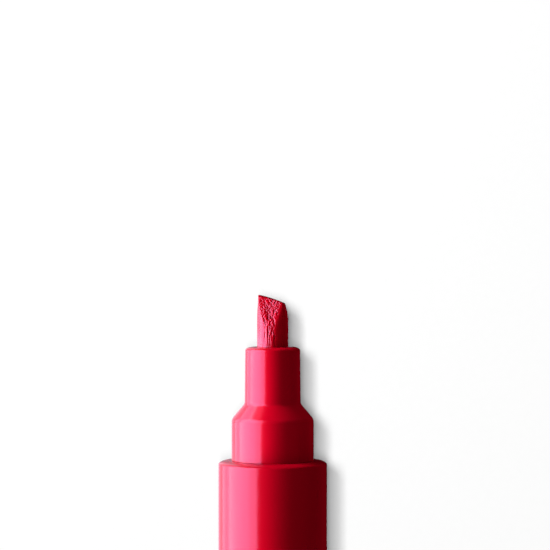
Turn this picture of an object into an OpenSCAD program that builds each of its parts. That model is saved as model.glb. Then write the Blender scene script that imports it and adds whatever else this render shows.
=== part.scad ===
// Valve-action felt tip marker with a chisel nib and its cap posted on the tail.
// The axis lies along +Y with the nib at the +Y end, and the marker rests on the plane z = 0.
// Lathe modules are drawn along a local axis: s = 0 is the barrel's front face, and s grows towards
// the nib. on_axis() lays that local axis along +Y at the marker's own height above the table.

/* [Nib] */
// Diameter of the felt nib, swollen with paint
nib_d = 4.6; // [3.5:0.1:5]
// Length of nib that stands out of the collar
nib_out = 7.75; // [6:0.05:9]
// Slope of the chisel edge, from its high left corner to its low right corner, in degrees
edge_slope = 18.5; // [0:0.1:30]
// Radius of the bow that wear gives the chisel edge
edge_bow_r = 20; // [10:1:60]
// Thickness of the nib at the chisel edge
edge_t = 1.0; // [0.5:0.1:1.6]
// Length over which the two curved bevels run out into the round nib
bevel_len = 6.3; // [4:0.1:7.5]
// Turn of the bevels about the marker's axis, in degrees
nib_turn = 9; // [0:1:30]
// How far the nib travels into the collar to open the valve
press_travel = 1.8; // [1:0.1:1.9]

/* [Front section] */
// Diameter of the collar at its mouth
collar_d = 8.1; // [7.8:0.1:9]
// Growth of the collar's diameter from mouth to cone, which is its moulding draft
collar_draft = 0.15; // [0:0.05:0.3]
// Length of the collar
collar_len = 8.35; // [7:0.05:10]
// Length of the cone between collar and shoulder
cone_len = 2.3; // [1.8:0.1:3]
// Diameter of the shoulder, and of the tail stub that also carries the cap
shoulder_d = 12.1; // [11.8:0.1:12.6]
// Length of the shoulder
shoulder_len = 6.05; // [5.5:0.05:7]

/* [Barrel] */
// Outer diameter of the barrel
barrel_d = 16; // [15.6:0.1:17]
// Length of the barrel
barrel_len = 96; // [80:1:110]
// Wall of the ink tank
barrel_wall = 1.2; // [1:0.1:1.4]
// Diameter of the mixing ball
ball_d = 6; // [4:0.5:6.5]

/* [Cap] */
// Free space in front of the nib inside the cap
cap_room = 3; // [2:0.5:8]
// How far the corners between the cap's anti-roll flats stand out of its round sleeve
cap_swell = 0.8; // [0.5:0.05:1.1]

/* [Hidden] */
$fn = 96;
arc_steps = 6;
eps = 0.02; // gap between moulded pieces that press or butt together
fit = 0.08; // radial gap of a sliding fit

// Colours
red = [0.82, 0.02, 0.12];
felt = [0.66, 0.03, 0.14];
natural = [0.93, 0.93, 0.90];
steel = [0.74, 0.75, 0.77];
rubber = [0.16, 0.16, 0.17];

// Stations along the local axis
flange_t = 1.2;
cone_top_s = shoulder_len + cone_len;
mouth_s = cone_top_s + collar_len;
tip_s = mouth_s + nib_out;
plug_len = 10;
stub_len = cone_top_s - 0.55;
flange_s = -barrel_len - flange_t;
cap_rim_s = flange_s - eps;
axis_h = barrel_d / 2;

// Radii
nib_r = nib_d / 2;
collar_r = collar_d / 2;
collar_root_r = collar_r + collar_draft / 2;
shoulder_r = shoulder_d / 2;
barrel_r = barrel_d / 2;
tank_r = barrel_r - barrel_wall;
guide_r = nib_r + fit; // ribs that guide the nib
nib_bore_r = guide_r + 0.42;
mouth_chamfer = 0.1;
collar_round = [collar_r - nib_bore_r - mouth_chamfer, 0.5]; // width and depth of a domed front
barrel_round = [barrel_r - shoulder_r - 0.05, 0.6];
plug_r = shoulder_r - 0.45; // front section's plug in the barrel mouth
snap_h = 0.25; // height of the snap beads
cone_angle = atan((shoulder_r - collar_root_r) / cone_len);
cone_top_blend = 0.8;
cone_foot_blend = 1.2;

// Valve, placed behind the nib
chamber_r = 4.0;
cup_r = 4.8;
cup_wall = 0.9;
cup_in_r = cup_r - cup_wall;
cup_front_s = 0.4;
cup_len = 10;
cup_front_t = 1.0;
cup_hole_r = 1.55;
seal_t = 0.7;
seal_s = cup_front_s - cup_front_t - seal_t; // face that the stem closes on
stem_r = 1.0;
head_t = 0.8;
head_r = 2.0;
head_s = cup_front_s + press_travel + 0.2; // rear face of the head, clear of the cup at full travel
nib_rear_s = head_s + head_t + eps;
valve_flange_r = 2.8;
valve_flange_t = 0.8;
cage_s = -8;
cage_t = 1.2;

// Spring between the stem's flange and the cage
wire_d = 0.45;
spring_r = 2.0;
spring_turns = 6;
spring_front_s = seal_s - valve_flange_t - eps;
spring_rear_s = cage_s + eps;

// Tail plug
tail_plug_len = 8;
stub_wall = 1.2;

// Cap, measured as a depth below its rim: with the cap closed over the nib, depth equals s
cap_r = barrel_r - 0.05;
cap_corner_r = cap_r + cap_swell;
cap_bore_r = shoulder_r + 0.3;
cap_grip_r = shoulder_r + 0.05;
cap_end_t = 1.8;
liner_t = 1.2;
liner_mouth = cone_top_s + 0.85;
liner_bore_r = collar_root_r + fit;
liner_r = liner_bore_r + 1;
liner_nib_r = nib_r + 0.95;
liner_end = tip_s + cap_room;
cap_len = liner_end + liner_t + 3.25 + cap_end_t;
total_len = tip_s + barrel_len + flange_t + eps + cap_len;

// Points on a circular arc, from one angle to another
function arc(centre, r, from, to) =
    [for (i = [0:arc_steps]) centre + r * [cos(from + (to - from) * i / arc_steps),
                                           sin(from + (to - from) * i / arc_steps)]];

// Points down a domed front, from its flat inner rim to the side wall of radius r
function dome(r, s, size) =
    [for (i = [0:arc_steps]) [r - size[0] * (1 - sin(90 * i / arc_steps)),
                              s - size[1] * (1 - cos(90 * i / arc_steps))]];

// Lays the local axis s along +Y, at the marker's height and place in the frame
module on_axis() {
    translate([0, total_len / 2 - tip_s, axis_h]) rotate([-90, 0, 0]) children();
}

// Lathe body about the local axis, from [radius, s] points
module lathe(points) {
    rotate_extrude() polygon(points);
}

// The same, with the points given as [radius, depth below the cap's rim]
module cap_lathe(points) {
    lathe([for (p = points) [p[0], cap_rim_s - p[1]]]);
}

// ---- Nib ----

// Curved bevels of the nib: the space between two large cylinders, front and back
module bevel_space() {
    shrink = nib_r - edge_t / 2;
    big_r = (shrink * shrink + bevel_len * bevel_len) / (2 * shrink);
    rotate([0, 0, -nib_turn]) intersection_for(side = [-1, 1])
        translate([0, side * (big_r - nib_r), tip_s - bevel_len])
            rotate([0, 90, 0]) cylinder(r = big_r, h = 2 * nib_d, center = true, $fn = 256);
}

// Everything below the sloping, bowed chisel edge, which is highest at the -X side
module below_edge() {
    half_chord = nib_r / cos(edge_slope);
    centre_depth = sqrt(edge_bow_r * edge_bow_r - half_chord * half_chord);
    translate([-nib_r, 0, tip_s]) rotate([0, edge_slope, 0])
        translate([half_chord, 0, -centre_depth]) rotate([90, 0, 0])
            cylinder(r = edge_bow_r, h = 2 * nib_d, center = true, $fn = 256);
}

module nib() {
    bevel_s = tip_s - bevel_len;
    chamfer = 0.3;
    color(felt) on_axis() union() {
        lathe([[0, nib_rear_s], [nib_r - chamfer, nib_rear_s], [nib_r, nib_rear_s + chamfer],
               [nib_r, bevel_s], [0, bevel_s]]);
        intersection() {
            translate([0, 0, bevel_s]) cylinder(r = nib_r, h = bevel_len);
            bevel_space();
            below_edge();
        }
    }
}

// ---- Front section ----

// Outer line of the collar, cone and shoulder, with blended corners
function front_outline() =
    let (top = [collar_root_r, cone_top_s], foot = [shoulder_r, shoulder_len],
         top_run = cone_top_blend * tan(cone_angle / 2),
         foot_run = cone_foot_blend * tan(cone_angle / 2))
    concat(
        dome(collar_r, mouth_s, collar_round),
        arc(top + [cone_top_blend, top_run], cone_top_blend, 180, 180 + cone_angle),
        arc(foot - [cone_foot_blend, foot_run], cone_foot_blend, cone_angle, 0));

module front_shell() {
    seat_chamfer = 0.15;
    guide_rear_s = 7.4;
    lathe(concat(
        [[nib_bore_r, mouth_s - mouth_chamfer], [nib_bore_r + mouth_chamfer, mouth_s]],
        front_outline(),
        [[shoulder_r, seat_chamfer], [shoulder_r - seat_chamfer, 0], [plug_r, 0]],
        [[plug_r, -3], [plug_r + snap_h, -3.6], [plug_r + snap_h, -4.2], [plug_r, -5]],
        [[plug_r, -9.4], [plug_r - 0.3, -plug_len], [cup_r + eps, -plug_len]],
        [[cup_r + eps, -8.3], [cup_r + 0.17, -7.9], [cup_r + 0.17, -7.4], [cup_r + eps, -7]],
        [[cup_r + eps, cup_front_s + eps], [chamber_r, cup_front_s + eps]],
        [[chamber_r, 5], [nib_bore_r, guide_rear_s]]));
}

// Ribs in the collar's bore, which guide the nib and leave channels for air and paint
module guide_ribs() {
    ribs = 6;
    rib_w = 0.7;
    for (i = [0:ribs - 1]) rotate([0, 0, 360 / ribs * i])
        translate([guide_r - 0.3, -rib_w / 2, 6]) cube([0.9, rib_w, mouth_s - 6.3]);
}

module front_section() {
    color(red) on_axis() difference() {
        union() {
            front_shell();
            intersection() {
                guide_ribs();
                cylinder(r = nib_bore_r + 0.15, h = mouth_s);
            }
        }
        translate([0, 0, 5.5]) cylinder(r = guide_r, h = mouth_s);
    }
}

// ---- Valve ----

module valve_cup() {
    rear_s = cup_front_s - cup_len;
    color(natural) on_axis() lathe([
        [cup_hole_r, cup_front_s], [cup_r - 0.3, cup_front_s], [cup_r, cup_front_s - 0.3],
        [cup_r, -7], [cup_r + 0.15, -7.4], [cup_r + 0.15, -7.9], [cup_r, -8.3],
        [cup_r, rear_s], [cup_in_r + 0.25, rear_s], [cup_in_r, rear_s + 0.3],
        [cup_in_r, cage_s - 0.8], [cup_in_r + 0.14, cage_s - 0.6], [cup_in_r, cage_s - 0.3],
        [cup_in_r, cup_front_s - cup_front_t], [cup_hole_r, cup_front_s - cup_front_t]]);
}

module valve_seal() {
    round_r = 0.15;
    out_r = cup_in_r - 0.3;
    in_r = cup_hole_r + 0.05;
    front_s = seal_s + seal_t - eps;
    color(rubber) on_axis() lathe(concat(
        [[in_r, seal_s], [in_r, front_s]],
        arc([out_r - round_r, front_s - round_r], round_r, 90, 0),
        arc([out_r - round_r, seal_s + round_r], round_r, 0, -90)));
}

module valve_stem() {
    tail_s = -9.6;
    flange_front_s = seal_s - eps / 2;
    flange_rear_s = seal_s - valve_flange_t;
    color(natural) on_axis() lathe([
        [0, head_s + head_t], [head_r, head_s + head_t], [head_r, head_s],
        [stem_r, head_s - 0.3], [stem_r, flange_front_s + 0.2], [stem_r + 0.2, flange_front_s],
        [valve_flange_r, flange_front_s], [valve_flange_r, flange_rear_s],
        [stem_r, flange_rear_s], [stem_r, tail_s + 0.4], [stem_r - 0.4, tail_s], [0, tail_s]]);
}

// Share of the spring's length reached after some turns: the first and last turn lie closed
function coil_rise(turn) =
    let (closed = wire_d, open = spring_front_s - spring_rear_s - wire_d - 2 * closed,
         middle = spring_turns - 2)
    turn < 1 ? closed * turn
    : turn > spring_turns - 1 ? closed + open + closed * (turn - spring_turns + 1)
    : closed + open * (turn - 1) / middle;

module valve_spring() {
    steps = 18;
    sides = 8;
    wire_r = wire_d / 2;
    rings = spring_turns * steps;
    points = [for (i = [0:rings], j = [0:sides - 1])
        let (turn = i / steps, at = 360 * turn, round = 360 * j / sides,
             r = spring_r + wire_r * cos(round))
        [r * cos(at), r * sin(at),
         spring_rear_s + wire_r + coil_rise(turn) + wire_r * sin(round)]];
    walls = [for (i = [0:rings - 1], j = [0:sides - 1])
        let (a = i * sides + j, b = i * sides + (j + 1) % sides)
        each [[a, b, b + sides], [a, b + sides, a + sides]]];
    first_end = [for (j = [0:sides - 1]) sides - 1 - j];
    last_end = [for (j = [0:sides - 1]) rings * sides + j];
    color(steel) on_axis() polyhedron(points, concat(walls, [first_end, last_end]));
}

module spring_cage() {
    windows = 4;
    guide_hole_r = stem_r + fit;
    color(natural) on_axis() difference() {
        lathe([[guide_hole_r, cage_s], [cup_in_r - eps, cage_s], [cup_in_r - eps, cage_s - 0.3],
               [cup_in_r + 0.12, cage_s - 0.6], [cup_in_r - eps, cage_s - 0.8],
               [cup_in_r - eps, cage_s - cage_t], [guide_hole_r, cage_s - cage_t]]);
        for (i = [0:windows - 1]) rotate([0, 0, 360 / windows * i])
            translate([0, 0, cage_s - cage_t - 1]) rotate_extrude(angle = 55)
                translate([2.3, 0]) square([0.9, cage_t + 2]);
    }
}

// ---- Barrel ----

module barrel() {
    mouth_r = plug_r + eps;
    snap_r = plug_r + snap_h + 0.03;
    tail_snap_r = tank_r + 0.17;
    color(red) on_axis() lathe(concat(
        [[mouth_r + 0.15, 0]],
        dome(barrel_r, 0, barrel_round),
        [[barrel_r, -barrel_len], [tank_r, -barrel_len]],
        [[tank_r, 3.6 - barrel_len], [tail_snap_r, 4 - barrel_len], [tail_snap_r, 4.6 - barrel_len],
         [tank_r, 5 - barrel_len]],
        [[tank_r, -8.5], [mouth_r, -7]],
        [[mouth_r, -5.1], [snap_r, -4.3], [snap_r, -3.5], [mouth_r, -2.9], [mouth_r, -0.15]]));
}

module tail_plug() {
    plug_out_r = tank_r - eps;
    plug_in_r = plug_out_r - 1.2;
    stub_in_r = shoulder_r - stub_wall;
    stub_end_s = flange_s - stub_len;
    front_s = tail_plug_len - barrel_len;
    edge = 0.25;
    color(red) on_axis() lathe(concat(
        [[0, stub_end_s + stub_wall], [stub_in_r, stub_end_s + stub_wall]],
        [[stub_in_r, -barrel_len], [plug_in_r, 1.5 - barrel_len], [plug_in_r, front_s]],
        [[plug_out_r - 0.4, front_s], [plug_out_r, front_s - 0.8]],
        [[plug_out_r, 5 - barrel_len], [plug_out_r + 0.15, 4.6 - barrel_len],
         [plug_out_r + 0.15, 4 - barrel_len], [plug_out_r, 3.6 - barrel_len]],
        [[plug_out_r, -eps - barrel_len], [cap_r - edge, -eps - barrel_len]],
        [[cap_r, -eps - edge - barrel_len], [cap_r, flange_s + edge], [cap_r - edge, flange_s]],
        [[shoulder_r, flange_s]],
        arc([shoulder_r - 0.8, stub_end_s + 0.8], 0.8, 0, -90),
        [[0, stub_end_s]]));
}

// The ball lies on the bottom of the tank
module mixing_ball() {
    ball_s = -barrel_len / 2 - 1.3;
    color(steel) on_axis() translate([0, tank_r - ball_d / 2 - 0.05, ball_s])
        sphere(d = ball_d);
}

// ---- Cap ----

// Round sleeve that swells into a six-sided grip, with one flat level with the barrel's underside
module cap_body() {
    end_edge = 1.0;
    swell_from = 10;
    swell_to = 15;
    swell = [for (i = [0:arc_steps])
        let (share = i / arc_steps)
        [cap_r + (cap_corner_r - cap_r) * (1 - cos(180 * share)) / 2,
         swell_from + (swell_to - swell_from) * share]];
    end_arc = [for (p = arc([cap_corner_r - end_edge, end_edge], end_edge, 0, -90))
        [p[0], cap_len - p[1]]];
    intersection() {
        cap_lathe(concat([[0, 0], [cap_r - 0.3, 0], [cap_r, 0.3]], swell, end_arc,
                         [[0, cap_len]]));
        translate([0, 0, cap_rim_s - cap_len - 1])
            cylinder(r = barrel_r / cos(30), h = cap_len + 2, $fn = 6);
    }
}

module cap() {
    gate_r = 1.6;
    gate_depth = 0.4;
    color(red) on_axis() difference() {
        cap_body();
        cap_lathe([[0, -1], [cap_bore_r + 0.3, -1], [cap_bore_r + 0.3, 0], [cap_bore_r, 0.4],
                   [cap_bore_r, 2.2], [cap_grip_r, 2.8], [cap_grip_r, 3.4], [cap_bore_r, 4.2],
                   [cap_bore_r, cap_len - cap_end_t], [0, cap_len - cap_end_t]]);
        cap_lathe([[0, cap_len - gate_depth], [gate_r, cap_len - gate_depth],
                   [gate_r + gate_depth, cap_len], [gate_r + gate_depth, cap_len + 1],
                   [0, cap_len + 1]]);
    }
}

// Inner cap that closes on the collar and keeps the nib wet
module cap_liner() {
    base = cap_len - cap_end_t - eps;
    flange_r = cap_bore_r - eps;
    color(natural) on_axis() cap_lathe([
        [liner_bore_r + 0.4, liner_mouth], [liner_r, liner_mouth], [liner_r, base - 2.2],
        [flange_r, base - 1.5], [flange_r, base], [liner_r - liner_t, base],
        [liner_r - liner_t, liner_end + liner_t], [0, liner_end + liner_t], [0, liner_end],
        [liner_nib_r, liner_end], [liner_nib_r, mouth_s + 1.5], [liner_bore_r, mouth_s + 0.5],
        [liner_bore_r, liner_mouth + 1]]);
}

nib();
front_section();
barrel();
tail_plug();
valve_cup();
valve_seal();
valve_stem();
valve_spring();
spring_cage();
mixing_ball();
cap();
cap_liner();
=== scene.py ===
"""Looks of the felt tip marker: detailed shells, a paint-crusted nib, materials, light and camera.

Lengths are in metres, in the row's frame: the marker's axis runs along Y and the nib points to +Y.
A station s is a distance along the axis from the barrel's front face, positive towards the nib.
"""

import math

import bmesh
import bpy
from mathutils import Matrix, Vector, noise


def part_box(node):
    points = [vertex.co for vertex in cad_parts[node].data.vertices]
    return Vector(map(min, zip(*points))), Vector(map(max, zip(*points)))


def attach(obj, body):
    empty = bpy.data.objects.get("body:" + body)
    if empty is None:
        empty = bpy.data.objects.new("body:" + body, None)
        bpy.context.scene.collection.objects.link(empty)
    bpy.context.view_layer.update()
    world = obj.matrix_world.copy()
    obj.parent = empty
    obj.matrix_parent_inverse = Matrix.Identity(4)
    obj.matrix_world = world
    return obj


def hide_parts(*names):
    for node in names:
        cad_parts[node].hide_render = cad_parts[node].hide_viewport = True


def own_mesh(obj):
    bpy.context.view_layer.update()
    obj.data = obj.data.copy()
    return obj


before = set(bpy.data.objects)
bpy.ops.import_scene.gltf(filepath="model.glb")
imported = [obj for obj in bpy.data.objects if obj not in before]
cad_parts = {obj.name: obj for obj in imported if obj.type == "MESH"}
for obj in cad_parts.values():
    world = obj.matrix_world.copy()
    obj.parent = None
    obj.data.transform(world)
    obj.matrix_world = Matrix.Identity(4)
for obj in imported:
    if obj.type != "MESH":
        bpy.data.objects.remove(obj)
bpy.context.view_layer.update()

MM = 0.001

# ---- Sizes taken from the frame ----

BARREL_LOW, BARREL_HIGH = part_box("barrel")
FRONT_LOW, FRONT_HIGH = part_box("front_section")
NIB_LOW, NIB_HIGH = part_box("nib")
PLUG_LOW, PLUG_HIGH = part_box("tail_plug")
CAP_LOW, CAP_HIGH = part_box("cap")
LINER_LOW, LINER_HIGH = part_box("cap_liner")
SPRING_LOW, SPRING_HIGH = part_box("valve_spring")

LEDGE_Y = BARREL_HIGH.y
AXIS_Z = (BARREL_LOW.z + BARREL_HIGH.z) / 2
BARREL_R = (BARREL_HIGH.x - BARREL_LOW.x) / 2
BARREL_LEN = BARREL_HIGH.y - BARREL_LOW.y
SHOULDER_R = (FRONT_HIGH.x - FRONT_LOW.x) / 2
MOUTH_S = FRONT_HIGH.y - LEDGE_Y
TIP_S = NIB_HIGH.y - LEDGE_Y
NIB_R = (NIB_HIGH.z - NIB_LOW.z) / 2
NIB_REAR_S = NIB_LOW.y - LEDGE_Y
FLANGE_R = (PLUG_HIGH.x - PLUG_LOW.x) / 2
STUB_END_S = PLUG_LOW.y - LEDGE_Y
CAP_RIM_S = CAP_HIGH.y - LEDGE_Y
CAP_LEN = CAP_HIGH.y - CAP_LOW.y
CAP_CORNER_R = (CAP_HIGH.x - CAP_LOW.x) / 2

# ---- Sizes the frame doesn't give, the same as in the CAD ----

GAP = 0.02 * MM
COLLAR_R = 4.05 * MM
COLLAR_ROOT_R = 4.125 * MM
COLLAR_LEN = 8.35 * MM
SHOULDER_LEN = 6.05 * MM
MOUTH_CHAMFER = 0.1 * MM
PLUG_R = SHOULDER_R - 0.45 * MM
PLUG_END_S = -10 * MM
SNAP_H = 0.25 * MM
SNAP_S = -3.9 * MM
SNAP_FRONT_SLOPE = 0.6 * MM
SNAP_REAR_SLOPE = 0.8 * MM
CUP_R = 4.8 * MM
GUIDE_R = NIB_R + 0.08 * MM
NIB_BORE_R = GUIDE_R + 0.42 * MM
COLLAR_DOME = (COLLAR_R - NIB_BORE_R - MOUTH_CHAMFER, 0.5 * MM)
BARREL_DOME = (BARREL_R - SHOULDER_R - 0.05 * MM, 0.6 * MM)
WALL = 1.2 * MM
TANK_R = BARREL_R - WALL
LINER_BORE_R = 4.205 * MM
LINER_R = 5.205 * MM
LINER_NIB_R = NIB_R + 0.95 * MM
LINER_T = 1.2 * MM
CAP_RIM_R = BARREL_R - 0.05 * MM
CAP_BORE_R = SHOULDER_R + 0.3 * MM
CAP_GRIP_R = SHOULDER_R + 0.05 * MM
CAP_END_T = 1.8 * MM
CAP_END_R = 1.0 * MM
BEVEL_LEN = 6.3 * MM
CHISEL_T = 1.0 * MM
CHISEL_SLOPE = math.radians(18.5)
CHISEL_BOW_R = 20 * MM
NIB_TURN = math.radians(9)
WIRE_D = 0.45 * MM
SPRING_TURNS = 6


# ---- Mesh helpers ----


def smoothstep(low, high, x):
    """0 below low, 1 above high, and a smooth ramp between them."""
    t = min(1.0, max(0.0, (x - low) / (high - low)))
    return t * t * (3 - 2 * t)


def smooth_min(a, b, width):
    """The smaller of a and b, with the crease between them rounded over width."""
    h = max(width - abs(a - b), 0.0) / width
    return min(a, b) - h * h * width / 4


def arc(centre, r, start, end, steps=8):
    """(radius, s) points on an arc; the angles are in degrees."""
    angles = [math.radians(start + (end - start) * i / steps) for i in range(steps + 1)]
    return [(centre[0] + r * math.cos(a), centre[1] + r * math.sin(a)) for a in angles]


def dome(r, s, size, steps=14):
    """(radius, s) points down a domed front, from its flat inner rim to the side wall."""
    turns = [math.radians(90 * i / steps) for i in range(steps + 1)]
    return [(r - size[0] * (1 - math.sin(t)), s - size[1] * (1 - math.cos(t))) for t in turns]


def along(p, q, steps):
    """Points from p up to, but without, q."""
    return [
        (p[0] + (q[0] - p[0]) * i / steps, p[1] + (q[1] - p[1]) * i / steps) for i in range(steps)
    ]


def make_piece(name, bm, body, node, material):
    """Turns a bmesh into a shaded piece that stands for a CAD node and rides on its body."""
    bmesh.ops.remove_doubles(bm, verts=bm.verts, dist=1e-8)
    bmesh.ops.recalc_face_normals(bm, faces=bm.faces)
    mesh = bpy.data.meshes.new(name)
    bm.to_mesh(mesh)
    bm.free()
    mesh.shade_smooth()
    mesh.set_sharp_from_angle(angle=math.radians(38))
    mesh.materials.append(material)
    piece = bpy.data.objects.new(name, mesh)
    bpy.context.scene.collection.objects.link(piece)
    piece.visible_diffuse = False
    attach(piece, body)
    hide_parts(node)
    return piece


def join_rings(bm, rings):
    """Faces between each ring of vertices and the next, and over both ends."""
    count = len(rings[0])
    for a, b in zip(rings, rings[1:]):
        for i in range(count):
            j = (i + 1) % count
            bm.faces.new((a[i], a[j], b[j], b[i]))
    bm.faces.new(rings[0])
    bm.faces.new(list(reversed(rings[-1])))


def lathe(outline, segments=192, shape=None):
    """Closed bmesh turned from (radius, s) points. shape(radius, s, angle) may change a radius."""
    bm = bmesh.new()
    rings = []
    for r, s in outline:
        ring = []
        for i in range(segments):
            angle = 2 * math.pi * i / segments
            local = shape(r, s, angle) if shape else r
            place = (local * math.sin(angle), LEDGE_Y + s, AXIS_Z + local * math.cos(angle))
            ring.append(bm.verts.new(place))
        rings.append(ring)
    for a, b in zip(rings, rings[1:] + rings[:1]):
        for i in range(segments):
            j = (i + 1) % segments
            bm.faces.new((a[i], a[j], b[j], b[i]))
    bmesh.ops.remove_doubles(bm, verts=bm.verts, dist=1e-8)
    bmesh.ops.dissolve_degenerate(bm, dist=1e-9, edges=bm.edges)
    return bm


# ---- Materials ----

# Tints of what a surface reflects head-on
WHITE_SHINE = (1, 1, 1, 1)
PINK_SHINE = (1, 0.5, 1, 1)
MOULDED_IOR = 1.49

# The lightest and the darkest of each plastic's mottled colour
BARREL_REDS = ((0.76, 0.0004, 0.018), (0.72, 0.0003, 0.016))
# Painted light: the front section's reds are a lighter copy of the barrel's, for the brighter light
# on the collar and shoulder
FRONT_REDS_PAINTED_LIGHTER = ((0.88, 0.0004, 0.021), (0.84, 0.0003, 0.018))
UNDYED = ((0.83, 0.82, 0.77), (0.77, 0.76, 0.71))

PAINT_SKIN = (0.9, 0.0005, 0.017)
# Painted shade: the crust's pits are coloured dark red
PAINTED_PIT_SHADE = (0.31, 0.0, 0.002)
# Painted highlight: pale pink for the nib's left flank near the collar, where the light from the
# left falls
PAINTED_HIGHLIGHT_PINK = (0.85, 0.06, 0.12)
# Painted shade: near black for the chisel edge's rounding and the cut face
PAINTED_EDGE_SHADE = (0.1, 0.0, 0.006)

# Stands where a link brings the colour
UNSET = (0, 0, 0)


def new_material(name):
    """A new material, with its node tree and its Principled shader."""
    material = bpy.data.materials.new(name)
    material.use_nodes = True
    tree = material.node_tree
    shader = tree.nodes["Principled BSDF"]
    return material, tree, shader


def add_node(tree, kind, **inputs):
    """A node of that kind, with socket values set by name (underscores stand for spaces)."""
    node = tree.nodes.new(kind)
    for key, value in inputs.items():
        node.inputs[key.replace("_", " ")].default_value = value
    return node


def object_coords(tree, scale=(1, 1, 1)):
    """Object coordinates, stretched by scale."""
    coords = tree.nodes.new("ShaderNodeTexCoord")
    mapping = tree.nodes.new("ShaderNodeMapping")
    mapping.inputs["Scale"].default_value = scale
    tree.links.new(coords.outputs["Object"], mapping.inputs["Vector"])
    return mapping.outputs["Vector"]


def noise_texture(tree, vector, scale, detail=3.0, roughness=0.5):
    """Noise over a vector; its Fac output."""
    node = add_node(tree, "ShaderNodeTexNoise", Scale=scale, Detail=detail, Roughness=roughness)
    tree.links.new(vector, node.inputs["Vector"])
    return node.outputs["Fac"]


def remap(tree, value, low, high, to_low, to_high):
    """A Map Range node, clamped."""
    node = tree.nodes.new("ShaderNodeMapRange")
    limits = {"From Min": low, "From Max": high, "To Min": to_low, "To Max": to_high}
    for key, number in limits.items():
        node.inputs[key].default_value = number
    tree.links.new(value, node.inputs["Value"])
    return node.outputs["Result"]


def mix_colours(tree, share, a, b):
    """Mixes two colours: a where share is 0, b where it is 1."""
    node = tree.nodes.new("ShaderNodeMix")
    node.data_type = "RGBA"
    node.inputs["A"].default_value = (*a, 1)
    node.inputs["B"].default_value = (*b, 1)
    tree.links.new(share, node.inputs["Factor"])
    return node.outputs["Result"]


def bump(tree, shader, height, strength, distance):
    """Bump from a height socket, joined to the shader's normal."""
    node = add_node(tree, "ShaderNodeBump", Strength=strength, Distance=distance)
    tree.links.new(height, node.inputs["Height"])
    tree.links.new(node.outputs["Normal"], shader.inputs["Normal"])


def moulded_plastic(
    name, colours, roughness, grain, ior=MOULDED_IOR, shine=WHITE_SHINE, subsurface=0.0
):
    """Satin injection-moulded plastic: mottled colour, uneven gloss and a fine spark-eroded grain.

    colours and roughness are pairs of limits, and grain is the strength of the bump.
    """
    material, tree, shader = new_material(name)
    coords = object_coords(tree)
    mottle = noise_texture(tree, coords, 90, 2)
    colour = mix_colours(tree, remap(tree, mottle, 0.35, 0.65, 0, 1), *colours)
    tree.links.new(colour, shader.inputs["Base Color"])
    smears = noise_texture(tree, object_coords(tree, (1, 0.25, 1)), 420, 4)
    tree.links.new(remap(tree, smears, 0.3, 0.7, *roughness), shader.inputs["Roughness"])
    bump(tree, shader, noise_texture(tree, coords, 5200, 2), grain, 0.01 * MM)
    shader.inputs["IOR"].default_value = ior
    shader.inputs["Specular Tint"].default_value = shine
    if subsurface:
        shader.inputs["Subsurface Weight"].default_value = subsurface
        shader.inputs["Subsurface Radius"].default_value = (1, 0.9, 0.8)
        shader.inputs["Subsurface Scale"].default_value = 1.0 * MM
    return material


def painted_fibre(name):
    """Bonded fibre soaked with paint: glossy where paint skins over it, duller in pits, which get
    painted shade.

    The mesh's crust attribute is 2 where a painted highlight lightens the skin on the nib's left
    flank near the collar (and on the flank opposite), 1 on the skin, 0 in the pits and -1 on the
    chisel edge and cut face, which get painted shade.
    """
    material, tree, shader = new_material(name)
    crust = tree.nodes.new("ShaderNodeAttribute")
    crust.attribute_name = "crust"
    height = crust.outputs["Fac"]
    # Painted shade: the crust darkens towards its pits
    paint = mix_colours(tree, remap(tree, height, 0.1, 1, 0, 1), PAINTED_PIT_SHADE, PAINT_SKIN)
    # Painted shade: crust values below 0 darken the chisel edge and cut face
    edge = mix_colours(tree, remap(tree, height, -0.9, 0, 0, 1), PAINTED_EDGE_SHADE, UNSET)
    tree.links.new(paint, edge.node.inputs["B"])
    # Painted highlight: crust values above 1 turn the skin pale pink
    painted_highlight = mix_colours(tree, remap(tree, height, 1, 2, 0, 1), UNSET, PAINTED_HIGHLIGHT_PINK)
    tree.links.new(edge, painted_highlight.node.inputs["A"])
    tree.links.new(painted_highlight, shader.inputs["Base Color"])
    fibres = noise_texture(tree, object_coords(tree, (1, 0.12, 1)), 9000, 3)
    rough = remap(tree, fibres, 0.3, 0.7, 0.14, 0.22)
    pits = remap(tree, height, 0.1, 0.7, 0.08, 0)
    total = tree.nodes.new("ShaderNodeMath")
    tree.links.new(rough, total.inputs[0])
    tree.links.new(pits, total.inputs[1])
    tree.links.new(total.outputs["Value"], shader.inputs["Roughness"])
    bump(tree, shader, fibres, 0.2, 0.01 * MM)
    shader.inputs["IOR"].default_value = 1.52
    shader.inputs["Specular Tint"].default_value = PINK_SHINE
    return material


def drawn_steel(name):
    """Bright stainless wire with drawing marks."""
    material, tree, shader = new_material(name)
    marks = noise_texture(tree, object_coords(tree), 3500, 4)
    colour = mix_colours(tree, marks, (0.62, 0.62, 0.64), (0.78, 0.78, 0.8))
    tree.links.new(colour, shader.inputs["Base Color"])
    tree.links.new(remap(tree, marks, 0.3, 0.7, 0.16, 0.34), shader.inputs["Roughness"])
    shader.inputs["Metallic"].default_value = 1.0
    return material


def seal_rubber(name):
    """Dull black rubber."""
    material, tree, shader = new_material(name)
    dust = noise_texture(tree, object_coords(tree), 2500, 4)
    colour = mix_colours(tree, dust, (0.012, 0.012, 0.013), (0.03, 0.03, 0.032))
    tree.links.new(colour, shader.inputs["Base Color"])
    tree.links.new(remap(tree, dust, 0.3, 0.7, 0.55, 0.8), shader.inputs["Roughness"])
    bump(tree, shader, dust, 0.3, 0.02 * MM)
    return material


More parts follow.
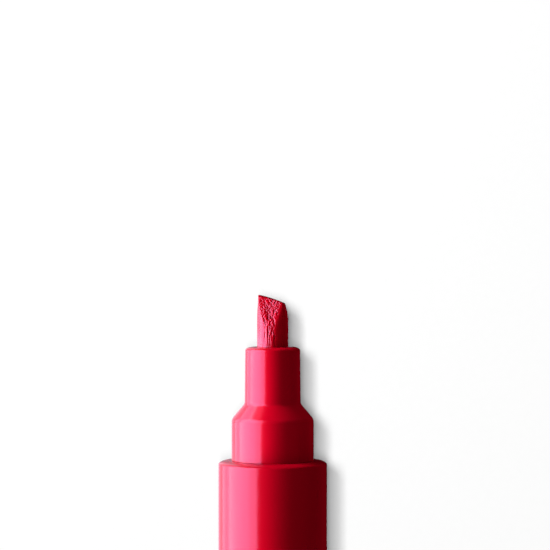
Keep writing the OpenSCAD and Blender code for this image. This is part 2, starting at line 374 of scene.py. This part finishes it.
SATIN = (0.15, 0.19)
DULL = (0.36, 0.46)
RED = moulded_plastic("red_plastic", BARREL_REDS, SATIN, 0.08, shine=PINK_SHINE)
# A lighter copy of the barrel's red: painted light on the collar, cone and shoulder
RED_FRONT = moulded_plastic("red_front", FRONT_REDS_PAINTED_LIGHTER, SATIN, 0.08, ior=1.51, shine=PINK_SHINE)
NATURAL = moulded_plastic("natural_plastic", UNDYED, DULL, 0.2, subsurface=0.4)
FELT = painted_fibre("painted_fibre")
STEEL = drawn_steel("stainless_steel")
RUBBER = seal_rubber("seal_rubber")


# ---- Barrel ----


def build_barrel():
    """Tube with a domed front edge, and a narrower mouth with a groove for the snap bead."""
    mouth_r = PLUG_R + GAP
    groove_r = PLUG_R + SNAP_H + 0.03 * MM
    groove_rear, groove_front = SNAP_S - 0.4 * MM, SNAP_S + 0.4 * MM
    rear, tank_s, mouth_end_s = -BARREL_LEN, -8.5 * MM, -7 * MM
    lead_in, rear_chamfer = 0.15 * MM, 0.12 * MM
    outline = (
        [(mouth_r + lead_in, 0)]
        + dome(BARREL_R, 0, BARREL_DOME)
        + [(BARREL_R, rear + rear_chamfer), (BARREL_R - rear_chamfer, rear), (TANK_R, rear)]
        + [(TANK_R, tank_s), (mouth_r, mouth_end_s), (mouth_r, groove_rear - SNAP_REAR_SLOPE)]
        + [(groove_r, groove_rear), (groove_r, groove_front)]
        + [(mouth_r, groove_front + SNAP_FRONT_SLOPE), (mouth_r, -lead_in)]
    )
    make_piece("barrel_shell", lathe(outline), "barrel", "barrel", RED)


# ---- Front section ----


RIBS = 6
RIBS_FROM_S = 6 * MM


def front_outline():
    """Collar, cone and shoulder from the mouth back, with blended corners."""
    cone_top = MOUTH_S - COLLAR_LEN
    angle = math.atan((SHOULDER_R - COLLAR_ROOT_R) / (cone_top - SHOULDER_LEN))
    top_r, foot_r = 0.8 * MM, 1.2 * MM
    top_run, foot_run = top_r * math.tan(angle / 2), foot_r * math.tan(angle / 2)
    degrees = math.degrees(angle)
    top = arc((COLLAR_ROOT_R + top_r, cone_top + top_run), top_r, 180, 180 + degrees)
    foot = arc((SHOULDER_R - foot_r, SHOULDER_LEN - foot_run), foot_r, degrees, 0)
    return dome(COLLAR_R, MOUTH_S, COLLAR_DOME) + top + foot


def ribbed_bore(r, s, angle):
    """Lets six ribs stand into the bore of the collar."""
    if r > NIB_BORE_R + GAP or s < RIBS_FROM_S:
        return r
    rib_half_w = 0.35 * MM
    pitch = 2 * math.pi / RIBS
    turn = angle % pitch
    away = min(turn, pitch - turn) * NIB_BORE_R
    return GUIDE_R + (r - GUIDE_R) * smoothstep(rib_half_w - 0.04 * MM, rib_half_w + 0.1 * MM, away)


def build_front_section():
    """Collar, cone, shoulder and plug, with a ribbed bore that widens to the valve cup's seat."""
    seat, mouth = 0.05 * MM, MOUTH_CHAMFER
    plug_chamfer, way_r = (0.3 * MM, 0.6 * MM), 4 * MM
    cup_bore, cup_stop_s = CUP_R + GAP, 0.42 * MM
    way_end_s, guide_s = 5 * MM, 7.4 * MM
    bead_r = PLUG_R + SNAP_H
    bead_rear, bead_front = SNAP_S - 0.3 * MM, SNAP_S + 0.3 * MM
    outline = (
        [(NIB_BORE_R, MOUTH_S - mouth), (NIB_BORE_R + mouth, MOUTH_S)]
        + front_outline()
        + [(SHOULDER_R, seat), (SHOULDER_R - seat, 0), (PLUG_R, 0)]
        + [(PLUG_R, bead_front + SNAP_FRONT_SLOPE), (bead_r, bead_front)]
        + [(bead_r, bead_rear), (PLUG_R, bead_rear - SNAP_REAR_SLOPE)]
        + [(PLUG_R, PLUG_END_S + plug_chamfer[1]), (PLUG_R - plug_chamfer[0], PLUG_END_S)]
        + [(cup_bore, PLUG_END_S), (cup_bore, cup_stop_s), (way_r, cup_stop_s)]
        + [(way_r, way_end_s)]
        + along((NIB_BORE_R, guide_s), (NIB_BORE_R, MOUTH_S - mouth), 12)
    )
    bm = lathe(outline, 288, ribbed_bore)
    make_piece("front_section_shell", bm, "barrel", "front_section", RED_FRONT)


# ---- Tail plug ----


def build_tail_plug():
    """Hollow plug in the tank, a flange on the barrel's end, and the stub the cap is put on."""
    out_r = TANK_R - GAP
    in_r = out_r - WALL
    stub_in_r, stub_floor = SHOULDER_R - WALL, STUB_END_S + WALL
    rear = -BARREL_LEN
    front = rear + 8 * MM
    lead_in = (0.4 * MM, 0.8 * MM)
    flange = CAP_RIM_S + GAP
    edge, foot, stub_edge = 0.25 * MM, 0.1 * MM, 0.8 * MM
    outline = (
        [(0, stub_floor), (stub_in_r, stub_floor), (stub_in_r, rear)]
        + [(in_r, rear + 1.5 * MM), (in_r, front), (out_r - lead_in[0], front)]
        + [(out_r, front - lead_in[1]), (out_r, rear - GAP), (FLANGE_R - edge, rear - GAP)]
        + arc((FLANGE_R - edge, rear - GAP - edge), edge, 90, 0, 5)[1:]
        + arc((FLANGE_R - edge, flange + edge), edge, 0, -90, 5)
        + [(SHOULDER_R + foot, flange), (SHOULDER_R, flange - foot)]
        + arc((SHOULDER_R - stub_edge, STUB_END_S + stub_edge), stub_edge, 0, -90)
        + [(0, STUB_END_S)]
    )
    make_piece("tail_plug_shell", lathe(outline), "barrel", "tail_plug", RED)


# ---- Cap ----

# Depths below the cap's rim
FLATS_FROM = 8 * MM
SWELL_FROM = 10 * MM
SWELL_TO = 15 * MM


def hex_flats(r, s, angle):
    """Cuts six flats into the cap's swollen grip and its rounded end, and rounds the creases."""
    depth = CAP_RIM_S - s
    inside = r <= CAP_BORE_R + 0.4 * MM
    if inside or depth < FLATS_FROM:
        return r
    crease = 0.12 * MM
    sixth = math.pi / 3
    off_centre = (angle + sixth / 2) % sixth - sixth / 2
    flat = BARREL_R / math.cos(off_centre)
    if depth < CAP_LEN - CAP_END_R:
        return smooth_min(r, flat, crease)
    return smooth_min(CAP_CORNER_R, flat, crease) - (CAP_CORNER_R - r)


def cap_point(r, depth):
    """A profile point given by its depth below the cap's rim."""
    return (r, CAP_RIM_S - depth)


def cap_outside():
    """Outer profile: a round rim that swells into the grip, and a rounded end."""
    steps = 24
    swell = []
    for i in range(steps + 1):
        share = i / steps
        rise = (CAP_CORNER_R - CAP_RIM_R) * (1 - math.cos(math.pi * share)) / 2
        swell.append(cap_point(CAP_RIM_R + rise, SWELL_FROM + (SWELL_TO - SWELL_FROM) * share))
    end_r = CAP_END_R
    grip = [cap_point(CAP_CORNER_R, depth) for depth in (SWELL_TO + MM, CAP_LEN - end_r)]
    end_turns = [math.radians(9 * i) for i in range(11)]
    end_edge = [
        cap_point(CAP_CORNER_R - end_r + end_r * math.cos(t), CAP_LEN - end_r + end_r * math.sin(t))
        for t in end_turns
    ]
    return (
        [cap_point(CAP_BORE_R + 0.3 * MM, 0), cap_point(CAP_RIM_R - 0.3 * MM, 0)]
        + [cap_point(CAP_RIM_R - 0.09 * MM, 0.09 * MM), cap_point(CAP_RIM_R, 0.3 * MM)]
        + swell
        + along(grip[0], grip[1], 10)
        + end_edge
    )


def cap_inside():
    """Inner profile from the floor out, with the ring that grips the shoulder or the stub."""
    ring, slope_out, slope_in, rim_chamfer = (2.8 * MM, 3.4 * MM), 0.6 * MM, 0.8 * MM, 0.4 * MM
    return [
        cap_point(0, CAP_LEN - CAP_END_T),
        cap_point(CAP_BORE_R, CAP_LEN - CAP_END_T),
        cap_point(CAP_BORE_R, ring[1] + slope_in),
        cap_point(CAP_GRIP_R, ring[1]),
        cap_point(CAP_GRIP_R, ring[0]),
        cap_point(CAP_BORE_R, ring[0] - slope_out),
        cap_point(CAP_BORE_R, rim_chamfer),
    ]


def build_cap():
    """Closed cap with a gate dimple in the middle of its end."""
    gate_r, gate_depth = 1.6 * MM, 0.4 * MM
    gate = [
        cap_point(gate_r + gate_depth, CAP_LEN),
        cap_point(gate_r, CAP_LEN - gate_depth),
        cap_point(0, CAP_LEN - gate_depth),
    ]
    bm = lathe(cap_outside() + gate + cap_inside(), 384, hex_flats)
    make_piece("cap_shell", bm, "cap", "cap", RED)


def build_cap_liner():
    """Inner cap: a wide mouth for the collar, a narrow end for the nib, and a rear flange."""
    mouth = CAP_RIM_S - (LINER_HIGH.y - LEDGE_Y)
    base = CAP_RIM_S - (LINER_LOW.y - LEDGE_Y)
    nib_clearance = 3 * MM
    floor_depth = TIP_S + nib_clearance
    flange_r = CAP_BORE_R - GAP
    edge, corner = 0.15 * MM, 0.4 * MM
    outline = [
        cap_point(LINER_BORE_R + corner, mouth),
        cap_point(LINER_R - edge, mouth),
        cap_point(LINER_R, mouth + edge),
        cap_point(LINER_R, base - 2.2 * MM),
        cap_point(flange_r, base - 1.5 * MM),
        cap_point(flange_r, base),
        cap_point(LINER_R - LINER_T, base),
        cap_point(LINER_R - LINER_T, floor_depth + LINER_T),
        cap_point(0, floor_depth + LINER_T),
        cap_point(0, floor_depth),
        cap_point(LINER_NIB_R - corner, floor_depth),
        cap_point(LINER_NIB_R, floor_depth - corner),
        cap_point(LINER_NIB_R, MOUTH_S + 1.5 * MM),
        cap_point(LINER_BORE_R, MOUTH_S + 0.5 * MM),
        cap_point(LINER_BORE_R, mouth + 1 * MM),
    ]
    bm = lathe(outline)
    make_piece("cap_liner_cup", bm, "cap", "cap_liner", NATURAL)


# ---- Nib ----


NIB_SEGMENTS = 320
NIB_STEP = 0.05 * MM
NIB_REAR_CHAMFER = 0.3 * MM
NIB_EDGE_R = 0.2 * MM
CRUST_DEPTH = 0.1 * MM
SMOOTH_SHAFT_S = MOUTH_S - 3 * MM
NOISE_ORIGIN = Vector((2.6, 8.4, 5.7))

# How far use has worn the nib's sides in at the tip
LEFT_WEAR = 0.16 * MM
RIGHT_WEAR = 0.42 * MM

# Width and length of the crust's lumps near the tip, of its streaks nearer the collar and of the
# cut face's roughness
LUMP = (0.27 * MM, 0.5 * MM)
STREAK = (0.27 * MM, 1.7 * MM)
CUT_GRAIN = (0.28 * MM, MM)


def bevel_half_thickness(s):
    """Half the nib's thickness at a station: full up to the bevels, then along their arcs."""
    start = TIP_S - BEVEL_LEN
    if s <= start:
        return NIB_R
    shrink = NIB_R - CHISEL_T / 2
    big_r = (shrink**2 + BEVEL_LEN**2) / (2 * shrink)
    return math.sqrt(big_r**2 - (s - start) ** 2) - (big_r - NIB_R)


def turn_from_bevel(angle):
    """Degrees from the middle of the nearer bevel, positive clockwise seen from the tail."""
    return math.degrees((angle + NIB_TURN + math.pi / 2) % math.pi) - 90


def nib_section(angle, s):
    """Radius of the nib at an angle from straight up, and how far that point lies into a bevel."""
    facing = abs(math.cos(angle + NIB_TURN))
    flat = bevel_half_thickness(s) / max(facing, 1e-6)
    worn = smoothstep(10, 50, turn_from_bevel(angle))
    crease = (0.06 + 0.5 * worn) * MM
    return smooth_min(NIB_R, flat, crease), NIB_R - flat


def worn_side(x, s):
    """Draws the sides in towards the tip, where use has worn them: most at the low right corner."""
    if x < 0:
        loss = LEFT_WEAR * smoothstep(TIP_S - 3.5 * MM, TIP_S, s)
    else:
        share = min(1.0, max(0.0, (s - TIP_S + 3.6 * MM) / (2.2 * MM)))
        loss = RIGHT_WEAR * share**1.4
    return x * (1 - loss * abs(x) / NIB_R**2)


def cut_height(x):
    """Station of the sloping, bowed chisel edge at x."""
    half_chord = NIB_R / math.cos(CHISEL_SLOPE)
    depth = math.sqrt(CHISEL_BOW_R**2 - half_chord**2)
    centre_x = -depth * math.sin(CHISEL_SLOPE)
    centre_s = TIP_S - NIB_R * math.tan(CHISEL_SLOPE) - depth * math.cos(CHISEL_SLOPE)
    return centre_s + math.sqrt(CHISEL_BOW_R**2 - (x - centre_x) ** 2)


def cut_station(angle):
    """Station where the chisel edge meets the wall at this angle."""
    s = TIP_S
    for _ in range(10):
        r, _depth = nib_section(angle, s)
        s = cut_height(worn_side(r * math.sin(angle), s))
    return s


def layered_noise(x, s, z, width, length):
    """Noise stretched along the nib, in three layers."""
    total = 0.0
    for scale, share in ((1.0, 1.0), (0.5, 0.5), (0.27, 0.25)):
        cell = Vector((x / (width * scale), s / (length * scale), z / (width * scale)))
        total += share * noise.noise(cell + NOISE_ORIGIN)
    return total


def crust_height(x, s, z, bevel_depth, angle):
    """Height from 0 to 1 of the paint crust at a point, and how strongly it shows there."""
    bend = 0.10 * MM * noise.noise(Vector((x, s, z)) / (0.9 * MM))
    lumps = layered_noise(x + bend, s, z, *LUMP)
    streaks = layered_noise(x + bend, s, z, *STREAK)
    turn = turn_from_bevel(angle)
    fade = (0.06 + 0.3 * smoothstep(0, 40, turn)) * MM
    on_bevel = smoothstep(-0.02 * MM, fade, bevel_depth)
    band = smoothstep(-33, -22, turn) * (1 - smoothstep(14, 30, turn))
    reach = smoothstep(MOUTH_S - 1.2 * MM, MOUTH_S + 2.2 * MM, s)
    strength = max(0.68 * on_bevel * reach, 0.85 * band * reach)
    lumpiness = smoothstep(TIP_S - 5.2 * MM, TIP_S - 3.8 * MM, s)
    height = lumpiness * lumps + (1 - lumpiness) * streaks
    return smoothstep(-0.6, 0.6, height), strength


def wall_point(angle, s, shrink=0.0):
    """x, z and crust value of the nib's wall at a station, drawn in by shrink."""
    r, bevel_depth = nib_section(angle, s)
    x, z = r * math.sin(angle), r * math.cos(angle)
    height, strength = crust_height(x, s, z, bevel_depth, angle)
    r -= CRUST_DEPTH * strength * (1 - height) + shrink
    # Painted highlight on the flanks near the collar: the left one, which the light from the left
    # falls on, and the one opposite
    painted_highlight = 1 - smoothstep(-50, -30, turn_from_bevel(angle))
    painted_highlight *= 1 - smoothstep(MOUTH_S + 0.3 * MM, MOUTH_S + 2.8 * MM, s)
    skin = 1 - strength * (1 - height) + painted_highlight
    return worn_side(r * math.sin(angle), s), r * math.cos(angle), skin


def edge_ring(angles, cuts, share):
    """(x, s, z, crust) points on the chisel edge's rounding; share grows from wall to top."""
    turn = math.radians(90 * share)
    points = []
    for angle, cut in zip(angles, cuts):
        x, z, height = wall_point(angle, cut, NIB_EDGE_R * (1 - math.cos(turn)))
        s = cut_height(x) - NIB_EDGE_R * (1 - math.sin(turn))
        # The crust value falls to -1 over the rounding and stays there on the cut face, for its
        # painted shade
        points.append((x, s, z, height - (1 + height) * share))
    return points


def cut_face_ring(rim, share):
    """(x, s, z, crust) points on the rough cut face, the rim drawn in to share of its size."""
    points = []
    for x, _s, z, height in rim:
        rough = layered_noise(x * share, 0, z * share, *CUT_GRAIN)
        s = cut_height(x * share) + 0.05 * MM * (rough - 0.6)
        points.append((x * share, s, z * share, height))
    return points


def nib_rings():
    """Rings of (x, s, z, crust) points from the nib's rear end to the middle of its cut face."""
    angles = [2 * math.pi * i / NIB_SEGMENTS for i in range(NIB_SEGMENTS)]
    cuts = [cut_station(a) for a in angles]

    def wall_ring(stations, shrink=0.0):
        """Points on the wall, one at each angle, at the station given for that angle."""
        ring = []
        for angle, s in zip(angles, stations):
            x, z, height = wall_point(angle, s, shrink)
            ring.append((x, s, z, height))
        return ring

    rings = [wall_ring([NIB_REAR_S] * NIB_SEGMENTS, NIB_REAR_CHAMFER)]
    shaft_from = NIB_REAR_S + NIB_REAR_CHAMFER
    for i in range(8):
        s = shaft_from + (SMOOTH_SHAFT_S - shaft_from) * i / 8
        rings.append(wall_ring([s] * NIB_SEGMENTS))
    fine_count = round((TIP_S - SMOOTH_SHAFT_S) / NIB_STEP)
    for i in range(fine_count + 1):
        share = i / fine_count
        ends = [cut - NIB_EDGE_R for cut in cuts]
        rings.append(wall_ring([SMOOTH_SHAFT_S + (end - SMOOTH_SHAFT_S) * share for end in ends]))
    rings += [edge_ring(angles, cuts, step / 4) for step in range(1, 5)]
    rim = rings[-1]
    inner_steps = 14
    rings += [cut_face_ring(rim, 1 - step / inner_steps) for step in range(1, inner_steps)]
    return rings


def build_nib():
    """Chisel nib with the paint crust cut into its surface and kept in the crust attribute, which
    also carries a painted highlight and painted shade.
    """
    bm = bmesh.new()
    crust = bm.verts.layers.float.new("crust")
    rings = []
    for points in nib_rings():
        ring = []
        for x, s, z, height in points:
            vertex = bm.verts.new((x, LEDGE_Y + s, AXIS_Z + z))
            vertex[crust] = height
            ring.append(vertex)
        rings.append(ring)
    join_rings(bm, rings)
    make_piece("nib_fibre", bm, "nib", "nib", FELT)


# ---- Valve spring ----


def build_spring():
    """Round wire wound into a coil with a closed turn at each end."""
    rear_y, front_y = SPRING_LOW.y, SPRING_HIGH.y
    wire_r = WIRE_D / 2
    coil_r = (SPRING_HIGH.x - SPRING_LOW.x) / 2 - wire_r
    steps, sides = 40, 16
    open_count = SPRING_TURNS - 2
    open_rise = front_y - rear_y - 3 * WIRE_D
    bm = bmesh.new()
    rings = []
    for i in range(SPRING_TURNS * steps + 1):
        turn = i / steps
        open_turns = min(max(turn - 1, 0), open_count)
        closed_turns = min(turn, 1) + max(turn - SPRING_TURNS + 1, 0)
        y = rear_y + wire_r + WIRE_D * closed_turns + open_rise * open_turns / open_count
        at = 2 * math.pi * turn
        ring = []
        for k in range(sides):
            side = 2 * math.pi * k / sides
            r = coil_r + wire_r * math.cos(side)
            place = (r * math.cos(at), y + wire_r * math.sin(side), AXIS_Z - r * math.sin(at))
            ring.append(bm.verts.new(place))
        rings.append(ring)
    join_rings(bm, rings)
    spring = make_piece("valve_spring_coil", bm, "barrel", "valve_spring", STEEL)
    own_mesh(spring)


# ---- Valve pieces kept from the CAD ----


def finish_cad_node(name, material):
    """Keeps a CAD node's shape, softens its edges and gives it its material."""
    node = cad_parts[name]
    node.data.materials.clear()
    node.data.materials.append(material)
    bevel = node.modifiers.new("soft_edges", "BEVEL")
    bevel.width = 0.05 * MM
    bevel.segments = 2
    bevel.limit_method = "ANGLE"
    bevel.angle_limit = math.radians(35)
    bevel.harden_normals = True


build_barrel()
build_front_section()
build_tail_plug()
build_cap()
build_cap_liner()
build_nib()
build_spring()
for node_name in ("valve_cup", "valve_stem", "spring_cage"):
    finish_cad_node(node_name, NATURAL)
finish_cad_node("valve_seal", RUBBER)
finish_cad_node("mixing_ball", STEEL)


# ---- Floor ----


def build_floor():
    """Matt white paper that only the camera sees: it doesn't shade the marker or show in it."""
    half_width = 3.0
    white = ((0.88, 0.88, 0.88), (0.9, 0.9, 0.9))
    bm = bmesh.new()
    bmesh.ops.create_grid(bm, x_segments=4, y_segments=4, size=half_width)
    mesh = bpy.data.meshes.new("floor")
    bm.to_mesh(mesh)
    bm.free()
    material, tree, shader = new_material("paper_floor")
    fibres = noise_texture(tree, object_coords(tree), 900, 4)
    tree.links.new(mix_colours(tree, fibres, *white), shader.inputs["Base Color"])
    shader.inputs["Roughness"].default_value = 0.9
    shader.inputs["Specular IOR Level"].default_value = 0.0
    mesh.materials.append(material)
    floor = bpy.data.objects.new("floor", mesh)
    bpy.context.scene.collection.objects.link(floor)
    floor.visible_glossy = False
    floor.visible_diffuse = False
    floor.visible_shadow = False
    return floor


floor = build_floor()


# ---- Light: long soft boxes to the left, and a soft overhead light for the floor's shadow ----

TARGET = Vector((0, LEDGE_Y, AXIS_Z))
LIGHT_DISTANCE = 0.7
LONG = 1.9
WHITE = (1, 1, 1)
COOL_PINK = (0.86, 0.82, 1.0)


def soft_box(name, low, high, radiance, shows_in, lights, length=LONG, ahead=0, tint=WHITE):
    """An area light that spans the angles low to high, in degrees left of straight up.

    shows_in is "gloss" for a light that only reflects, and "matt" for one that doesn't. lights is
    the collection it reaches. The light stands ahead degrees towards the nib.
    """
    middle = math.radians((low + high) / 2)
    half = math.radians((high - low) / 2)
    data = bpy.data.lights.new(name, "AREA")
    data.shape = "RECTANGLE"
    data.size = 2 * LIGHT_DISTANCE * math.tan(half)
    data.size_y = length
    data.color = tint
    data.energy = radiance * math.pi * data.size * data.size_y
    light = bpy.data.objects.new(name, data)
    bpy.context.scene.collection.objects.link(light)
    forward = math.tan(math.radians(ahead))
    away = Vector((-math.sin(middle), forward, math.cos(middle)))
    light.location = TARGET + away * LIGHT_DISTANCE
    light.rotation_euler = (0, -middle, 0)
    light.visible_camera = False
    light.visible_diffuse = shows_in != "gloss"
    light.visible_glossy = shows_in != "matt"
    data.cycles.use_multiple_importance_sampling = shows_in != "matt"
    light.light_linking.receiver_collection = lights


def light_group(name, state):
    """A collection that makes a light reach only the floor, or everything but the floor."""
    group = bpy.data.collections.new(name)
    group.objects.link(floor)
    group.collection_objects[0].light_linking.link_state = state
    return group


ONLY_FLOOR = light_group("only_the_floor", "INCLUDE")
NOT_FLOOR = light_group("all_but_the_floor", "EXCLUDE")

# Reflections: the window to the left in two strengths, its fall-off, and the white table below
soft_box("key_inner", 32.5, 50, 5.25, "gloss", NOT_FLOOR)
soft_box("key_outer", 50, 66, 7.3, "gloss", NOT_FLOOR)
soft_box("side_reflection", 66, 104, 6.9, "gloss", NOT_FLOOR)
soft_box("far_reflection", 66, 110, 1.3, "gloss", NOT_FLOOR, length=4.2)
soft_box("low_card", 104, 132, 3.8, "gloss", NOT_FLOOR, length=1.6, tint=COOL_PINK)
soft_box("edge_card", 132, 171, 1.3, "gloss", NOT_FLOOR, tint=COOL_PINK)
soft_box("under_card", 171, 179.5, 0.5, "gloss", NOT_FLOOR, tint=COOL_PINK)

# Light on the marker's body colour
soft_box("side_light", 65, 91, 8.7, "matt", NOT_FLOOR, length=1.6)
soft_box("fill", -40, 40, 0.31, "matt", NOT_FLOOR)
soft_box("low_right", -150, -128, 2.0, "matt", NOT_FLOOR)
soft_box("under", 150, 210, 0.5, "matt", NOT_FLOOR)
soft_box("front_left", 70, 98, 6, "matt", NOT_FLOOR, length=0.5, ahead=38)

# Light on the floor, which casts the marker's soft shadow to the right
soft_box("overhead_inner", -0.5, 4.5, 34, "matt", ONLY_FLOOR, length=0.2, ahead=2)
soft_box("overhead_middle", 4.5, 11.5, 21.5, "matt", ONLY_FLOOR, length=0.2, ahead=7)
soft_box("overhead_outer", 11.5, 19, 40, "matt", ONLY_FLOOR, length=0.2, ahead=12)

floor_fill = bpy.data.lights.new("floor_fill", "SUN")
floor_fill.energy = 0.74
floor_fill.use_shadow = False
floor_fill_light = bpy.data.objects.new("floor_fill", floor_fill)
bpy.context.scene.collection.objects.link(floor_fill_light)
floor_fill_light.light_linking.receiver_collection = ONLY_FLOOR

# White behind the paper, which neither lights the marker nor shows in it
world = bpy.data.worlds.new("studio")
bpy.context.scene.world = world
world.use_nodes = True
background = world.node_tree.nodes["Background"]
background.inputs["Color"].default_value = (1, 1, 1, 1)
background.inputs["Strength"].default_value = 0.9
world.cycles_visibility.diffuse = False
world.cycles_visibility.glossy = False

# ---- Camera: straight above the tip, looking down ----

CAMERA_ASIDE = 0.35 * MM
CAMERA_AHEAD = 2.85 * MM
CAMERA_UP = 290 * MM

camera_data = bpy.data.cameras.new("camera")
camera_data.lens = 128.7
camera_data.sensor_width = 36
camera = bpy.data.objects.new("camera", camera_data)
bpy.context.scene.collection.objects.link(camera)
camera.location = (CAMERA_ASIDE, NIB_HIGH.y + CAMERA_AHEAD, AXIS_Z + CAMERA_UP)
bpy.context.scene.camera = camera

bpy.context.scene.view_settings.view_transform = "Standard"
bpy.context.scene.view_settings.look = "None"
